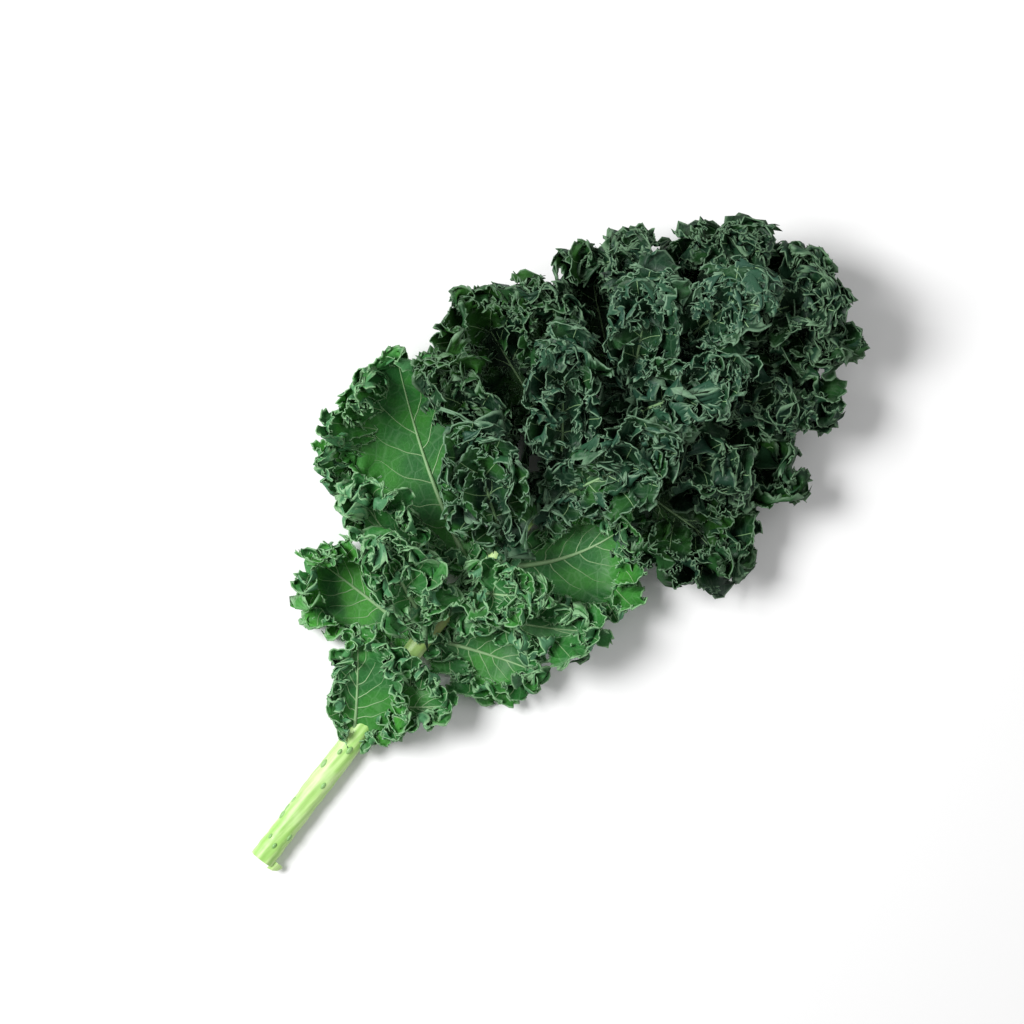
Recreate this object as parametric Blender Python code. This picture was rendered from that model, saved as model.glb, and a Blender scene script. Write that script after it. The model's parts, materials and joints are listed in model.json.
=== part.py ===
"""Curly kale leaf, cut from the plant and laid on its back.

One fleshy stalk runs on as the midrib. Large leaflets lie along both sides of the midrib,
smaller ones stand on its shoulders, and an inner row stands on its upper face. Every leaflet
is a cupped blade on its own rib.
Units are metres, +X runs from the cut end to the tip of the leaf, +Z is up, and the origin is
on the surface under the middle of the leaf.
"""

import math

import bpy
import bmesh
from mathutils import Vector

MM = 0.001

# Stalk and midrib
STALK_RADIUS = 6.2 * MM
MIDRIB_TIP_RADIUS = 1.8 * MM
STALK_SIDES = 12
STALK_STATIONS = 30
GROOVE_DEPTH = 0.16          # of the radius, along the upper face

# Leaflets
BLADE_THICKNESS = 2.8 * MM
BLADE_STEPS_ALONG = 15
BLADE_STEPS_ACROSS = 6       # even, so that one line of points follows the rib
ROOT_HALF_WIDTH = 3.0 * MM
TIP_HALF_WIDTH = 3.5 * MM
BLADE_ROUNDNESS = 0.55       # less is fuller towards both ends
NECK_SHARE = 0.35            # part of the rib before the blade is fully open
ROOT_GAP = 0.5 * MM          # between a leaflet and the midrib
ROOT_BLEND = 0.22            # part of the rib over which a leaflet turns away from the midrib
FRILL_HEIGHT = 2.2 * MM
FRILL_LENGTH = 26.0 * MM

# The line of the stalk and midrib: cut end, blade start, first and second fork, tip
SPINE_MM = [
    (-208, -34.9, 5.8), (-170, -29.8, 5.8), (-130, -24.4, 6.3), (-75, -14, 8.5),
    (-22, -11, 9), (50, -6, 10), (110, -2, 13), (162, 0, 21),
]

# Leaflets along the two sides of the midrib: root along X, middle and end of the rib, half
# width left and right of the rib as seen from the root, curl of the margins in degrees, and
# where the blade is widest (1 is the middle, more is nearer the end)
SIDE_LEAFLETS_MM = {
    "basal_left": (-124, (-110, -3, 11), (-90, 14, 18), 11, 9, 55, 1.1),
    "basal_right": (-110, (-101, -35, 11), (-87, -47, 18), 9, 12, 55, 1.1),
    "left_1": (-72, (-77, 25, -3), (-81, 56, 20), 27, 20, 50, 1.4),
    "left_2": (-24, (-7, 46, -4), (18, 101, 24), 46, 22, 50, 1.7),
    "left_3": (44, (56, 46, -3), (66, 94, 28), 27, 27, 50, 1.6),
    "left_4": (84, (106, 36, 0), (128, 70, 26), 24, 23, 50, 1.4),
    "left_5": (120, (150, 18, 10), (184, 30, 34), 20, 20, 50, 1.3),
    "right_1": (-70, (-56, -40, -3), (-42, -67, 16), 18, 22, 50, 1.6),
    "right_2": (-22, (10, -36, -3), (46, -46, 14), 20, 36, 50, 1.5),
    "right_3": (54, (66, -58, -3), (75, -103, 22), 21, 22, 50, 1.6),
    "right_4": (84, (104, -46, 0), (120, -94, 22), 17, 20, 50, 1.5),
    "right_5": (116, (140, -38, 10), (162, -76, 28), 15, 17, 50, 1.4),
    "right_6": (142, (166, -26, 18), (196, -50, 38), 15, 14, 50, 1.3),
}

# Leaflets of the middle layer, which stand on the shoulders of the midrib
MIDDLE_LEAFLETS_MM = {
    "mid_left_1": (-50, (-46, 34, 24), (-40, 68, 34), 12, 11, 50, 1.4),
    "mid_left_2": (8, (24, 44, 24), (36, 82, 36), 14, 12, 50, 1.4),
    "mid_left_3": (62, (82, 44, 26), (92, 76, 38), 13, 13, 50, 1.4),
    "mid_left_4": (104, (134, 32, 32), (154, 54, 44), 12, 13, 50, 1.3),
    "mid_right_1": (-48, (-30, -46, 18), (-10, -70, 26), 11, 11, 50, 1.4),
    "mid_right_2": (64, (86, -42, 26), (98, -72, 36), 13, 13, 50, 1.4),
    "mid_right_3": (100, (126, -40, 30), (142, -66, 40), 12, 12, 50, 1.4),
    "mid_tip_left": (140, (174, 8, 38), (196, 14, 50), 12, 10, 50, 1.2),
    "mid_tip_right": (134, (172, -22, 42), (204, -34, 50), 10, 11, 50, 1.2),
}

# Leaflets of the inner layer, on top of the midrib
INNER_LEAFLETS_MM = {
    "inner_1": (-66, (-59, 12, 32), (-56, 40, 42), 13, 13, 55, 1.3),
    "inner_2": (-38, (-28, -26, 28), (-14, -42, 34), 12, 12, 50, 1.1),
    "inner_3": (-8, (6, 18, 33), (22, 44, 44), 18, 16, 55, 1.2),
    "inner_4": (20, (52, -20, 38), (88, -32, 48), 18, 17, 55, 1.2),
    "inner_5": (36, (60, 18, 42), (88, 44, 52), 18, 16, 55, 1.2),
    "inner_6": (76, (106, -18, 46), (138, -30, 58), 17, 16, 55, 1.2),
    "inner_7": (90, (112, 16, 50), (140, 32, 62), 17, 15, 55, 1.2),
    "inner_8": (118, (144, -2, 54), (174, -8, 65), 16, 15, 55, 1.2),
}

# Inner leaflets with their roots nearer to the cut end than this are light green
LIGHT_INNER_END_MM = -20

# The one at the end of the midrib
TERMINAL_LEAFLET_MM = ((184, -6, 27), (206, -14, 40), 23, 22, 50, 1.1)

STALK_COLOUR = (0.60, 0.85, 0.38, 1.0)
LOWER_COLOUR = (0.07, 0.22, 0.08, 1.0)
UPPER_COLOUR = (0.03, 0.11, 0.05, 1.0)
INNER_COLOUR = (0.04, 0.14, 0.07, 1.0)


def clear_scene():
    for item in list(bpy.data.objects):
        bpy.data.objects.remove(item, do_unlink=True)


def metres(point_mm):
    return Vector(point_mm) * MM


def smooth(value):
    value = min(max(value, 0.0), 1.0)
    return value * value * (3.0 - 2.0 * value)


def spine_point(share):
    """A point on the smooth curve through the spine's points, share 0 at the cut end."""
    points = [metres(p) for p in SPINE_MM]
    place = min(max(share, 0.0), 1.0) * (len(points) - 1)
    index = min(int(place), len(points) - 2)
    t = place - index
    before = points[max(index - 1, 0)]
    start = points[index]
    end = points[index + 1]
    after = points[min(index + 2, len(points) - 1)]
    cubic = 2.0 * start + (end - before) * t
    cubic = cubic + (2.0 * before - 5.0 * start + 4.0 * end - after) * t ** 2
    cubic = cubic + (3.0 * start - before - 3.0 * end + after) * t ** 3
    return 0.5 * cubic


def spine_direction(share):
    step = 0.01
    ahead = spine_point(min(share + step, 1.0))
    behind = spine_point(max(share - step, 0.0))
    return (ahead - behind).normalized()


def spine_share(x):
    """Where along the spine a given distance along X is reached."""
    low = 0.0
    high = 1.0
    for _ in range(30):
        middle = 0.5 * (low + high)
        if spine_point(middle).x < x:
            low = middle
        else:
            high = middle
    return low


def spine_radius(share):
    """Even along the bare stalk, then a taper towards the tip of the leaf."""
    taper = smooth((share - 0.15) / 0.85)
    return STALK_RADIUS + (MIDRIB_TIP_RADIUS - STALK_RADIUS) * taper


def make_material(name, colour, roughness):
    material = bpy.data.materials.new(name)
    material.use_nodes = True
    shader = material.node_tree.nodes["Principled BSDF"]
    shader.inputs["Base Color"].default_value = colour
    shader.inputs["Roughness"].default_value = roughness
    shader.inputs["Metallic"].default_value = 0.0
    material.diffuse_color = colour
    return material


def add_object(name, mesh_data, material):
    mesh = bpy.data.meshes.new(name)
    mesh_data.to_mesh(mesh)
    mesh_data.free()
    mesh.shade_smooth()
    piece = bpy.data.objects.new(name, mesh)
    piece.data.materials.append(material)
    bpy.context.scene.collection.objects.link(piece)
    return piece


def face_outwards(mesh_data):
    if mesh_data.calc_volume(signed=True) < 0.0:
        bmesh.ops.reverse_faces(mesh_data, faces=mesh_data.faces)


def bridge_rings(mesh_data, rings):
    """Closes a run of equal rings of vertices into a tube with flat ends."""
    count = len(rings[0])
    for ring, following in zip(rings, rings[1:]):
        for i in range(count):
            j = (i + 1) % count
            mesh_data.faces.new((ring[i], ring[j], following[j], following[i]))
    mesh_data.faces.new(list(reversed(rings[0])))
    mesh_data.faces.new(rings[-1])
    face_outwards(mesh_data)


def make_stalk():
    """The stalk and midrib: one tapered stem with a shallow groove along its upper face."""
    mesh_data = bmesh.new()
    rings = []
    for step in range(STALK_STATIONS + 1):
        share = step / STALK_STATIONS
        centre = spine_point(share)
        forward = spine_direction(share)
        across = Vector((0, 0, 1)).cross(forward).normalized()
        upward = forward.cross(across)
        radius = spine_radius(share)
        ring = []
        for side in range(STALK_SIDES):
            angle = 2.0 * math.pi * (side + 0.5) / STALK_SIDES
            groove = GROOVE_DEPTH * max(math.sin(angle), 0.0) ** 6
            reach = radius * (1.0 - groove)
            point = centre + reach * (math.cos(angle) * across + math.sin(angle) * upward)
            point.z = max(point.z, 0.0)
            ring.append(mesh_data.verts.new(point))
        rings.append(ring)
    bridge_rings(mesh_data, rings)
    return add_object("stalk", mesh_data, make_material("stalk", STALK_COLOUR, 0.45))


def rib_point(root, middle, end, share):
    """The rib of a leaflet is a parabola through its root, middle and end."""
    handle = 2.0 * middle - 0.5 * (root + end)
    return (1 - share) ** 2 * root + 2 * share * (1 - share) * handle + share ** 2 * end


def rib_direction(root, middle, end, share):
    handle = 2.0 * middle - 0.5 * (root + end)
    return ((1 - share) * (handle - root) + share * (end - handle)).normalized()


def blade_half_width(share, half_width, widest):
    """Half of the blade's width, narrow at the root and round at the end."""
    bulge = max(math.sin(math.pi * share ** widest), 0.0) ** BLADE_ROUNDNESS
    bulge *= smooth(share / NECK_SHARE)
    narrow = ROOT_HALF_WIDTH + (TIP_HALF_WIDTH - ROOT_HALF_WIDTH) * share
    return narrow + (half_width - narrow) * bulge


def blade_section(across_share, width, curl):
    """Sideways and upward distance of a point on a section that curls up to its margin."""
    distance = width * abs(across_share)
    angle = curl * abs(across_share)
    if angle < 1e-4:
        return math.copysign(distance, across_share), 0.0, 0.0
    bend = distance / angle
    sideways = math.copysign(bend * math.sin(angle), across_share)
    return sideways, bend * (1.0 - math.cos(angle)), math.copysign(angle, across_share)


def make_leaflet(name, root, shape, seat, material):
    """A cupped blade of even thickness, closed all round. seat is the direction along the
    midrib and the direction away from it, or None where the leaflet stands on top."""
    middle = metres(shape[0])
    end = metres(shape[1])
    left_width = shape[2] * MM
    right_width = shape[3] * MM
    curl = math.radians(shape[4])
    widest = shape[5]
    mesh_data = bmesh.new()
    half_thickness = 0.5 * BLADE_THICKNESS
    rings = []
    length = (middle - root).length + (end - middle).length
    for step in range(BLADE_STEPS_ALONG + 1):
        share = step / BLADE_STEPS_ALONG
        centre = rib_point(root, middle, end, share)
        forward = rib_direction(root, middle, end, share)
        across = Vector((0, 0, 1)).cross(forward).normalized()
        opening = smooth(share / ROOT_BLEND)
        if seat is not None:
            along, outward = seat
            edge = along if across.dot(along) > 0.0 else -along
            across = edge.lerp(across, opening).normalized()
            forward = outward.lerp(forward, opening).normalized()
        upward = forward.cross(across).normalized()
        upper = []
        lower = []
        for column in range(BLADE_STEPS_ACROSS + 1):
            across_share = 2.0 * column / BLADE_STEPS_ACROSS - 1.0
            side_width = left_width if across_share > 0.0 else right_width
            width = blade_half_width(share, side_width, widest)
            sideways, lift, angle = blade_section(across_share, width, curl * opening)
            normal = math.cos(angle) * upward - math.sin(angle) * across
            phase = 2.0 * math.pi * share * length / FRILL_LENGTH
            phase += math.pi if across_share > 0.0 else 0.0
            frill = FRILL_HEIGHT * opening * abs(across_share) ** 2 * math.sin(phase)
            middle_point = centre + sideways * across + lift * upward + frill * normal
            resting = middle_point.z < half_thickness
            middle_point.z = max(middle_point.z, half_thickness)
            top = middle_point + half_thickness * normal
            bottom = middle_point - half_thickness * normal
            bottom.z = 0.0 if resting else max(bottom.z, 0.0)
            upper.append(mesh_data.verts.new(top))
            lower.append(mesh_data.verts.new(bottom))
        rings.append(upper + list(reversed(lower)))
    bridge_sections(mesh_data, rings)
    return add_object(name, mesh_data, material)


def bridge_sections(mesh_data, rings):
    """Closes flat sections of a blade: quads along it, and strips of quads at both ends."""
    count = len(rings[0])
    for ring, following in zip(rings, rings[1:]):
        for i in range(count):
            j = (i + 1) % count
            mesh_data.faces.new((ring[i], ring[j], following[j], following[i]))
    for ring in (rings[0], rings[-1]):
        for i in range(count // 2 - 1):
            corners = (ring[i], ring[i + 1], ring[count - 2 - i], ring[count - 1 - i])
            mesh_data.faces.new(corners if ring is rings[-1] else corners[::-1])
    face_outwards(mesh_data)


def make_side_leaflets(lower, upper):
    """The blades nearer the cut end, whose roots lie below the middle of the leaf, are lighter."""
    for name, (root_x, *shape) in SIDE_LEAFLETS_MM.items():
        station = spine_share(root_x * MM)
        centre = spine_point(station)
        forward = spine_direction(station)
        outward = Vector((0, 0, 1)).cross(forward).normalized()
        if "right" in name:
            outward = -outward
        root = centre + (spine_radius(station) + ROOT_GAP) * outward
        material = lower if root_x < 0 else upper
        make_leaflet(name, root, shape, (forward, outward), material)


def make_middle_leaflets(lower, upper):
    for name, (root_x, *shape) in MIDDLE_LEAFLETS_MM.items():
        station = spine_share(root_x * MM)
        across = Vector((0, 0, 1)).cross(spine_direction(station)).normalized()
        if "right" in name:
            across = -across
        outward = (across + Vector((0, 0, 1))).normalized()
        reach = spine_radius(station) + ROOT_GAP + BLADE_THICKNESS
        material = lower if root_x < 0 else upper
        make_leaflet(name, spine_point(station) + reach * outward, shape, None, material)


def make_inner_leaflets(lower, inner):
    """The first two stand by the stalk and have the lighter green of the leaflets there."""
    for name, (root_x, *shape) in INNER_LEAFLETS_MM.items():
        station = spine_share(root_x * MM)
        centre = spine_point(station)
        reach = spine_radius(station) + ROOT_GAP + BLADE_THICKNESS
        root = centre + Vector((0, 0, reach))
        material = lower if root_x < LIGHT_INNER_END_MM else inner
        make_leaflet(name, root, shape, None, material)


def make_terminal_leaflet(material):
    root = spine_point(1.0) + (ROOT_GAP + BLADE_THICKNESS) * spine_direction(1.0)
    make_leaflet("terminal", root, TERMINAL_LEAFLET_MM, None, material)


def main():
    clear_scene()
    make_stalk()
    lower = make_material("lower_blade", LOWER_COLOUR, 0.5)
    upper = make_material("upper_blade", UPPER_COLOUR, 0.5)
    inner = make_material("inner_blade", INNER_COLOUR, 0.5)
    make_side_leaflets(lower, upper)
    make_middle_leaflets(lower, upper)
    make_inner_leaflets(lower, inner)
    make_terminal_leaflet(upper)


main()
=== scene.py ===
# %% Load the frame
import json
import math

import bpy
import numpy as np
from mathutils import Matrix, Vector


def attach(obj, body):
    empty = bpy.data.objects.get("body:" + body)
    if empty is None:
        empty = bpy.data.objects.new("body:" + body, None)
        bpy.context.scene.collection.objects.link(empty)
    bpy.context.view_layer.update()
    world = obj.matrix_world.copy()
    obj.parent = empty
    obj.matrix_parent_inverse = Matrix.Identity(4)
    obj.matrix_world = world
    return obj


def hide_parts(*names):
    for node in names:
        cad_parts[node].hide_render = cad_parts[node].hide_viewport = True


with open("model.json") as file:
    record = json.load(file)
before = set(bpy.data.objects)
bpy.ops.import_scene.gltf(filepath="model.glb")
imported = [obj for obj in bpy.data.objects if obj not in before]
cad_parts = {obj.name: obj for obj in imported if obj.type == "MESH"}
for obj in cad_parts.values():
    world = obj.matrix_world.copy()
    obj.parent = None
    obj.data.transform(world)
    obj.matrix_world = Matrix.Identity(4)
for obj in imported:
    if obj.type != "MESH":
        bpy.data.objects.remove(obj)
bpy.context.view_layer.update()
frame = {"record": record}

# %% [markdown]
# # A leaf of curly kale
#
# This lesson builds one large kale leaf, cut from the plant and laid down. A thick pale stalk
# runs on as the midrib. Leaflets stand along both sides of it, on its shoulders and on top,
# and every leaflet ends in tightly crisped lobes. The frame loaded above holds a plain solid
# for each of those pieces, in metres, with X from the cut end to the tip and Z up. Each piece
# made here takes the place of one solid.

MM = 0.001

# %% [markdown]
# ## A maker of nodes
#
# Shapes and finishes here are both node trees. Written out node by node they would be long, so
# two small classes help. `Nodes` adds a node and joins it in one go: a value is typed into an
# input, a socket is linked. `Value` holds what a socket gives, so that a sum can be written
# with the usual signs, and each sign adds one Math node.


# %% A maker of nodes
def sign(operation, turned=False):
    """What a sign between two values does: it adds one Math node."""
    def work(one, other):
        pair = (other, one) if turned else (one, other)
        return one.nodes.math(operation, *pair)
    return work


class Value:
    """What a socket gives, ready for sums."""

    def __init__(self, nodes, socket):
        self.nodes = nodes
        self.socket = socket

    __add__ = __radd__ = sign("ADD")
    __sub__ = sign("SUBTRACT")
    __rsub__ = sign("SUBTRACT", turned=True)
    __mul__ = sign("MULTIPLY")
    __truediv__ = sign("DIVIDE")
    __pow__ = sign("POWER")


class Nodes:
    """Adds nodes to a tree and joins them as it goes."""

    def __init__(self, tree):
        self.tree = tree

    def join(self, value, socket):
        if isinstance(value, Value):
            self.tree.links.new(value.socket, socket)
        elif value is not None:
            socket.default_value = value

    def outs(self, labels, kind, *values, **named):
        """Outputs of a new node. Capital names are its inputs, small ones its settings."""
        node = self.tree.nodes.new(kind)
        inputs = dict(enumerate(values))
        for name, value in named.items():
            if name[0].isupper():
                inputs[name.replace("_", " ")] = value
            else:
                setattr(node, name, value)
        for key, value in inputs.items():
            self.join(value, node.inputs[key])
        return [Value(self, node.outputs[label]) for label in labels]

    def out(self, kind, *values, label=0, **named):
        return self.outs([label], kind, *values, **named)[0]

    def geo(self, kind, *values, **named):
        return self.out("GeometryNode" + kind, *values, **named)

    def math(self, operation, *values):
        return self.out("ShaderNodeMath", *values, operation=operation)

    def line(self, value, factor, offset):
        return self.math("MULTIPLY_ADD", value, factor, offset)

    def vector(self, operation, *values, **named):
        return self.out("ShaderNodeVectorMath", *values, operation=operation, **named)

    def smoothstep(self, value, low, high):
        return self.out("ShaderNodeMapRange", Value=value, From_Min=low, From_Max=high,
                        interpolation_type="SMOOTHSTEP")

    def split(self, vector):
        return self.outs("XYZ", "ShaderNodeSeparateXYZ", Vector=vector)

    def whole(self, x, y, z):
        return self.out("ShaderNodeCombineXYZ", x, y, z)

    def mix(self, factor, a, b, kind="RGBA", mode="MIX"):
        """A mix of two colours, numbers or vectors; each kind has its own pair of inputs."""
        first, result = {"FLOAT": (2, 0), "VECTOR": (4, 1), "RGBA": (6, 2)}[kind]
        unused = [None] * (first - 1)
        return self.out("ShaderNodeMix", factor, *unused, a, b, label=result, data_type=kind,
                        blend_type=mode)

    def noise(self, vector, scale, detail=2.0):
        return self.out("ShaderNodeTexNoise", Vector=vector, Scale=scale, Detail=detail)

    def wander(self, place):
        """Smooth random values along a line, about -1 to 1."""
        return self.line(self.out("ShaderNodeTexNoise", W=place, Scale=1.0, Detail=0.0,
                                  noise_dimensions="1D"), 4.0, -2.0)


def socket_kind(default):
    """The kind of socket that holds a default; a word names a kind that has none."""
    if isinstance(default, str):
        return "NodeSocket" + default
    if isinstance(default, tuple):
        return "NodeSocketVector" if len(default) == 3 else "NodeSocketColor"
    return "NodeSocketInt" if isinstance(default, int) else "NodeSocketFloat"


def make_tree(name, kind, inputs, outputs):
    """A node tree with named inputs and outputs, ready to be filled."""
    tree = bpy.data.node_groups.new(name, kind)
    for label, default in inputs.items():
        socket = tree.interface.new_socket(
            label, in_out="INPUT", socket_type=socket_kind(default))
        if not isinstance(default, str):
            socket.default_value = default
    for label, word in outputs.items():
        tree.interface.new_socket(label, in_out="OUTPUT", socket_type=socket_kind(word))
    nodes = Nodes(tree)
    given = dict(zip(inputs, nodes.outs(inputs, "NodeGroupInput")))
    result = tree.nodes.new("NodeGroupOutput").inputs
    print("tree:", name, "with", len(inputs), "inputs")
    return nodes, given, result


def add_tree(piece, tree, values):
    """A modifier with a tree, its inputs found by the names that the tree gives them."""
    modifier = piece.modifiers.new(tree.name, "NODES")
    modifier.node_group = tree
    for item in tree.interface.items_tree:
        if item.in_out == "INPUT" and item.name in values:
            modifier[item.identifier] = values[item.name]


# %% [markdown]
# ## The line of the midrib
#
# Everything hangs on the midrib, so its line comes first. The bare stalk touches the table,
# and the thinner end is held up by the leaflets under it. A few points give that line, and a
# smooth curve that passes through all of them joins them.

# %% The midrib's line
SPINE = MM * np.array([
    (-208, -34.9, 5.8), (-170, -29.8, 5.8), (-130, -24.4, 6.3), (-75, -14, 8.5),
    (-22, -11, 9), (50, -6, 10), (110, -2, 13), (162, 0, 21),
])


def spine_point(share):
    """Points on the smooth curve through the spine's points; share runs from 0 to 1."""
    place = np.clip(share, 0.0, 1.0) * (len(SPINE) - 1)
    index = np.minimum(place.astype(int), len(SPINE) - 2)
    t = (place - index)[:, None]
    before = SPINE[np.maximum(index - 1, 0)]
    start = SPINE[index]
    end = SPINE[index + 1]
    after = SPINE[np.minimum(index + 2, len(SPINE) - 1)]
    cubic = 2 * start + (end - before) * t
    cubic = cubic + (2 * before - 5 * start + 4 * end - after) * t ** 2
    cubic = cubic + (3 * start - before - 3 * end + after) * t ** 3
    return 0.5 * cubic


SPINE_SHARES = np.linspace(0, 1, 400)
SPINE_LINE = spine_point(SPINE_SHARES)


def spine_at(x):
    """The midrib's centre at a distance x along the leaf."""
    return np.array([np.interp(x, SPINE_LINE[:, 0], SPINE_LINE[:, k]) for k in range(3)])


print("the midrib rises to", round(SPINE_LINE[-1, 2] / MM, 1), "mm")

# %% [markdown]
# ## The look of a kale blade
#
# A kale blade is a waxy dark green above and a dull bluish green beneath. A fine network of
# sunken veins divides it into small raised cells, patches of it are a fresher green, and its
# very edge is thin and pale. The pale band at the edge is also a painted highlight, for the
# light that the thin edges catch, and it is what draws the curls when they are seen from above.
# Each leaflet carries three attributes made with its shape: `to_margin`, the distance to the
# edge, `side`, 0 above and 1 beneath, and `fresh`, how much fresh green it has, which on a few
# leaflets is raised as painted light where they lie in shade. One shader group turns them into
# a colour, a height for the bump and a roughness.


# %% The leaf surface group
def object_place(nodes):
    return nodes.out("ShaderNodeTexCoord", label="Object")


def attribute(nodes, name):
    return nodes.out("ShaderNodeAttribute", attribute_name=name, label="Fac")


def make_leaf_surface():
    nodes, given, result = make_tree("leaf surface", "ShaderNodeTree", {
        "Blade Colour": (0.03, 0.12, 0.04, 1), "Fresh Colour": (0.08, 0.25, 0.03, 1),
        "Underside Colour": (0.12, 0.24, 0.17, 1), "Edge Colour": (0.3, 0.42, 0.28, 1),
        "Edge Highlight Width": 0.8 * MM, "Cells Per Metre": 330.0,
    }, {"Color": "Color", "Height": "Float", "Roughness": "Float"})
    place = object_place(nodes)
    fresh = attribute(nodes, "fresh")

    patches = nodes.smoothstep(nodes.noise(place, 42.0), 0.38, 0.62)
    colour = nodes.mix(patches * fresh, given["Blade Colour"], given["Fresh Colour"])

    lines = 0.0
    for spread, strength in ((1.0, 0.5), (0.36, 1.0)):
        scale = given["Cells Per Metre"] * spread
        cells = nodes.out("ShaderNodeTexVoronoi", Vector=place, Scale=scale,
                          feature="DISTANCE_TO_EDGE", label="Distance")
        lines = nodes.math("MAXIMUM", lines, nodes.smoothstep(cells, 0.08, 0.0) * strength)
    colour = nodes.mix(lines * 0.14, colour, given["Edge Colour"])

    under = nodes.smoothstep(attribute(nodes, "side"), 0.4, 0.6)
    below = nodes.mix(fresh * 0.4, given["Underside Colour"], given["Fresh Colour"])
    colour = nodes.mix(under, colour, below)
    # painted highlight: the pale band along the edge is partly the edge's own paler colour and
    # partly the light that the thin edges catch
    edge = nodes.smoothstep(attribute(nodes, "to_margin") / given["Edge Highlight Width"], 1.0, 0.2)
    colour = nodes.mix(edge * 0.85, colour, given["Edge Colour"])

    grain = nodes.noise(place, 900.0)
    shade = nodes.line(grain, 0.5, 0.75)
    colour = nodes.mix(1.0, colour, nodes.whole(shade, shade, shade), mode="MULTIPLY")
    nodes.join(colour, result["Color"])
    nodes.join(nodes.line(lines, -0.6, grain * 0.5), result["Height"])
    nodes.join(nodes.line(grain, 0.25, 0.36), result["Roughness"])
    return nodes.tree


LEAF_SURFACE = make_leaf_surface()

# %% [markdown]
# ## Three greens
#
# The old leaflets by the stalk are open and mid green, those towards the tip are nearly black
# green, and the small ones that stand on top show more of their bluish undersides. These greens
# are partly the leaf's own tones and partly painted shade: the upper and inner blades are made
# nearly black also for the shade that falls deep among the crowded curls. The same group makes
# all three: each material only gives it its own colours.


# %% The blade materials
def make_material(name):
    material = bpy.data.materials.new(name)
    material.use_nodes = True
    return material, Nodes(material.node_tree), material.node_tree.nodes["Principled BSDF"]


def dress(nodes, shader, colour, roughness, height, distance, strength=0.6):
    """Gives a shader its colour, its roughness and small bumps."""
    bump = nodes.out("ShaderNodeBump", Height=height, Distance=distance, Strength=strength)
    for label, value in (("Base Color", colour), ("Roughness", roughness), ("Normal", bump)):
        nodes.join(value, shader.inputs[label])


def make_blade_material(name, colours):
    material, nodes, shader = make_material(name)
    labels = ("Blade Colour", "Fresh Colour", "Underside Colour", "Edge Colour")
    chosen = {label: (*colour, 1) for label, colour in zip(labels, colours)}
    colour, roughness, height = nodes.outs(
        ("Color", "Roughness", "Height"), "ShaderNodeGroup", node_tree=LEAF_SURFACE, **chosen)
    dress(nodes, shader, colour, roughness, height, 0.2 * MM)
    shader.inputs["Specular IOR Level"].default_value = 0.25
    return material


# the dark upper and inner blade colours carry painted shade as well as the leaf's own dark green
BLADE_COLOURS = {  # blade, fresh green, underside and edge
    "lower_blade": (
        (0.022, 0.130, 0.028), (0.050, 0.25, 0.030), (0.075, 0.21, 0.105), (0.25, 0.45, 0.23)),
    "upper_blade": (
        (0.005, 0.026, 0.011), (0.018, 0.085, 0.010), (0.012, 0.041, 0.025), (0.135, 0.24, 0.135)),
    "inner_blade": (
        (0.006, 0.032, 0.014), (0.022, 0.100, 0.018), (0.022, 0.074, 0.046), (0.16, 0.28, 0.17)),
}
BLADE_MATERIALS = {
    slot: make_blade_material(slot.replace("_", " "), colours)
    for slot, colours in BLADE_COLOURS.items()
}
print("blade materials:", ", ".join(BLADE_MATERIALS))

# %% [markdown]
# ## Ribs and stalk
#
# The ribs of the leaflets are pale green and juicy. The stalk is paler still, with long fibres
# that show as streaks, a darker reddish brown painted where the first leaflets leave it, which
# is painted shade under those leaflets, and a cut end with a ring of small paler dots, the cut
# bundles. Noise stretched along the stalk makes the streaks: a Mapping node scales X far less
# than Y and Z.


# %% The rib and stalk materials
def make_rib_material():
    material, nodes, shader = make_material("rib")
    place = object_place(nodes)
    colour = nodes.mix(nodes.noise(place, 60.0), (0.14, 0.30, 0.11, 1), (0.36, 0.54, 0.28, 1))
    grain = nodes.noise(place, 700.0)
    dress(nodes, shader, colour, nodes.line(grain, 0.25, 0.38), grain, 0.15 * MM)
    return material


HUB = MM * np.array((-62, -11, 14))    # where the first leaflets leave the stalk
CUT_RADIUS = 6.2 * MM


def distance_to(nodes, place, centre):
    return nodes.vector("DISTANCE", place, tuple(centre), label="Value")


def make_stalk_material():
    material, nodes, shader = make_material("stalk")
    place = object_place(nodes)
    stretched = nodes.out("ShaderNodeMapping", Vector=place, Scale=(14, 330, 330))
    streak = nodes.noise(stretched, 1.0, 4.0)
    colour = nodes.mix(nodes.smoothstep(streak, 0.32, 0.68),
                       (0.30, 0.56, 0.13, 1), (0.56, 0.78, 0.32, 1))
    blush = nodes.smoothstep(nodes.noise(place, 55.0, 3.0), 0.55, 0.75)
    colour = nodes.mix(blush * 0.35, colour, (0.66, 0.80, 0.46, 1))
    colour = nodes.mix(attribute(nodes, "scar") * 0.7, colour, (0.16, 0.36, 0.12, 1))
    # painted shade: a dark reddish brown is mixed in round the hub, where the first leaflets shade
    # the stalk
    painted_hub_shade = nodes.smoothstep(distance_to(nodes, place, HUB), 22 * MM, 4 * MM)
    colour = nodes.mix(painted_hub_shade * 0.6, colour, (0.20, 0.14, 0.06, 1))

    ring = distance_to(nodes, place, SPINE[0]) / CUT_RADIUS
    ring = nodes.math("ABSOLUTE", ring - 0.68)
    dots = nodes.out("ShaderNodeTexVoronoi", Vector=place, Scale=420.0, label="Distance")
    dots = nodes.smoothstep(dots, 0.35, 0.2) * nodes.smoothstep(ring, 0.16, 0.06)
    face = nodes.mix(dots, (0.55, 0.70, 0.36, 1), (0.80, 0.86, 0.62, 1))
    colour = nodes.mix(attribute(nodes, "cut"), colour, face)
    dress(nodes, shader, colour, nodes.line(streak, 0.3, 0.28), streak, 0.35 * MM, 0.7)
    return material


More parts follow.
